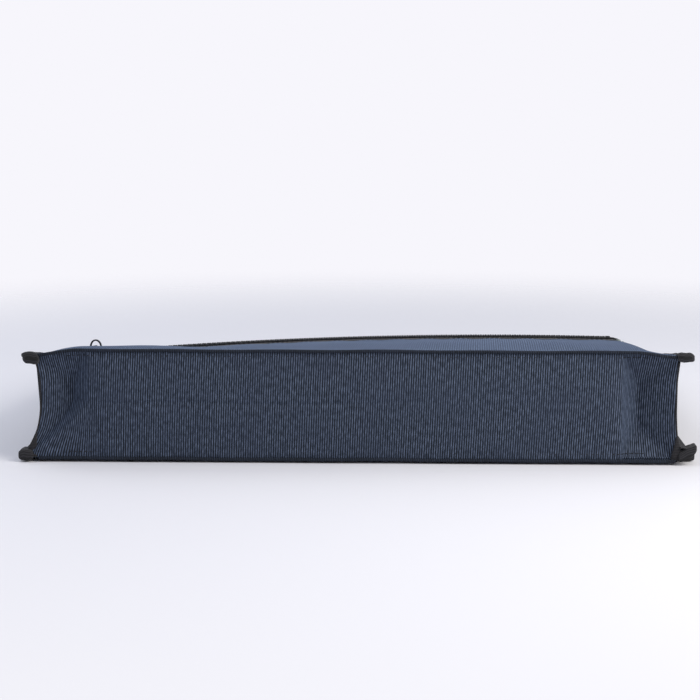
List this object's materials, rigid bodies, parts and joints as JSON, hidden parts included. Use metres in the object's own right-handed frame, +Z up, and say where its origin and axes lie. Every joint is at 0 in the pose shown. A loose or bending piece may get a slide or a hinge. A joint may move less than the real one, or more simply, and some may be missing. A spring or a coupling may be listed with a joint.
{
  "type": "zipper document bag",
  "caption": "Flat soft document bag with a wide base, bellows sides, a zipped front pocket, a zipped mouth and two webbing handles, lying on its back.",
  "frame": {"origin": "on the table under the middle of the whole bag, handles included", "axes": "+X along the base, to the right in the picture; +Y from the base to the mouth, away from the camera; +Z up, out of the back panel towards the front panel"},
  "size_m": [0.3674, 0.3766, 0.0619],
  "materials": {
    "navy_cloth": "ribbed navy polyester weave, coated behind",
    "binding_tape": "black ribbed binding tape",
    "handle_webbing": "black webbing",
    "zipper_tape": "black knitted tape",
    "pocket_lining": "thin plain lining",
    "nylon_teeth": "black moulded nylon",
    "black_enamelled_zinc": "black enamel on die-cast zinc",
    "stiffener_board": "grey board"
  },
  "bodies": {
    "shell": {"pocket_front": "navy_cloth", "front_panel": "navy_cloth", "back_panel": "navy_cloth", "base_panel": "navy_cloth", "base_board": "stiffener_board", "left_gusset": "navy_cloth", "right_gusset": "navy_cloth", "front_left_binding": "binding_tape", "back_left_binding": "binding_tape", "left_end_piping": "binding_tape", "front_right_binding": "binding_tape", "back_right_binding": "binding_tape", "right_end_piping": "binding_tape", "front_base_ridge": "navy_cloth", "back_base_ridge": "navy_cloth", "pocket_zip_tape_lower": "zipper_tape", "pocket_zip_tape_upper": "zipper_tape", "pocket_teeth_lower": "nylon_teeth", "pocket_teeth_upper": "nylon_teeth", "pocket_top_stop_lower": "black_enamelled_zinc", "pocket_top_stop_upper": "black_enamelled_zinc", "pocket_bottom_stop": "black_enamelled_zinc", "mouth_zip_tape_back": "zipper_tape", "mouth_zip_tape_front": "zipper_tape", "mouth_teeth_back": "nylon_teeth", "mouth_teeth_front": "nylon_teeth", "mouth_top_stop_back": "black_enamelled_zinc", "mouth_top_stop_front": "black_enamelled_zinc", "mouth_bottom_stop": "black_enamelled_zinc", "pocket_lining": "pocket_lining", "front_handle_end_left": "handle_webbing", "front_handle_end_right": "handle_webbing", "back_handle_end_left": "handle_webbing", "back_handle_end_right": "handle_webbing"},
    "pocket_slider": {"pocket_slider": "black_enamelled_zinc"},
    "pocket_puller": {"pocket_puller": "black_enamelled_zinc"},
    "mouth_slider": {"mouth_slider": "black_enamelled_zinc"},
    "mouth_puller": {"mouth_puller": "black_enamelled_zinc"},
    "front_handle": {"front_handle": "handle_webbing"},
    "back_handle": {"back_handle": "handle_webbing"}
  },
  "joints": [
    {"name": "pocket_zip_travel", "type": "hinge", "parent": "shell", "child": "pocket_slider", "pos_m": [0.085, -0.07375, -2.648], "axis": [0, 1, 0], "range_deg": [0, 6.34], "deforming": ["pocket_teeth_lower", "pocket_teeth_upper"]},
    {"name": "pocket_puller_swing", "type": "hinge", "parent": "pocket_slider", "child": "pocket_puller", "pos_m": [-0.15843, -0.07322, 0.0458], "axis": [0.0098, 0.994, -0.1089], "range_deg": [0, 172]},
    {"name": "mouth_zip_travel", "type": "slide", "parent": "shell", "child": "mouth_slider", "axis": [1, 0, 0], "range_m": [0, 0.303], "deforming": ["mouth_teeth_back", "mouth_teeth_front"]},
    {"name": "mouth_puller_swing", "type": "hinge", "parent": "mouth_slider", "child": "mouth_puller", "pos_m": [-0.1515, 0.08805, 0.01125], "axis": [0, 0, -1], "range_deg": [0, 172]},
    {"name": "front_handle_swing", "type": "hinge", "parent": "shell", "child": "front_handle", "pos_m": [0, 0.07625, 0.02547], "axis": [1, 0, 0], "range_deg": [0, 165]},
    {"name": "back_handle_swing", "type": "hinge", "parent": "shell", "child": "back_handle", "pos_m": [0, 0.07625, -0.001], "axis": [1, 0, 0], "range_deg": [-165, 0]}
  ]
}
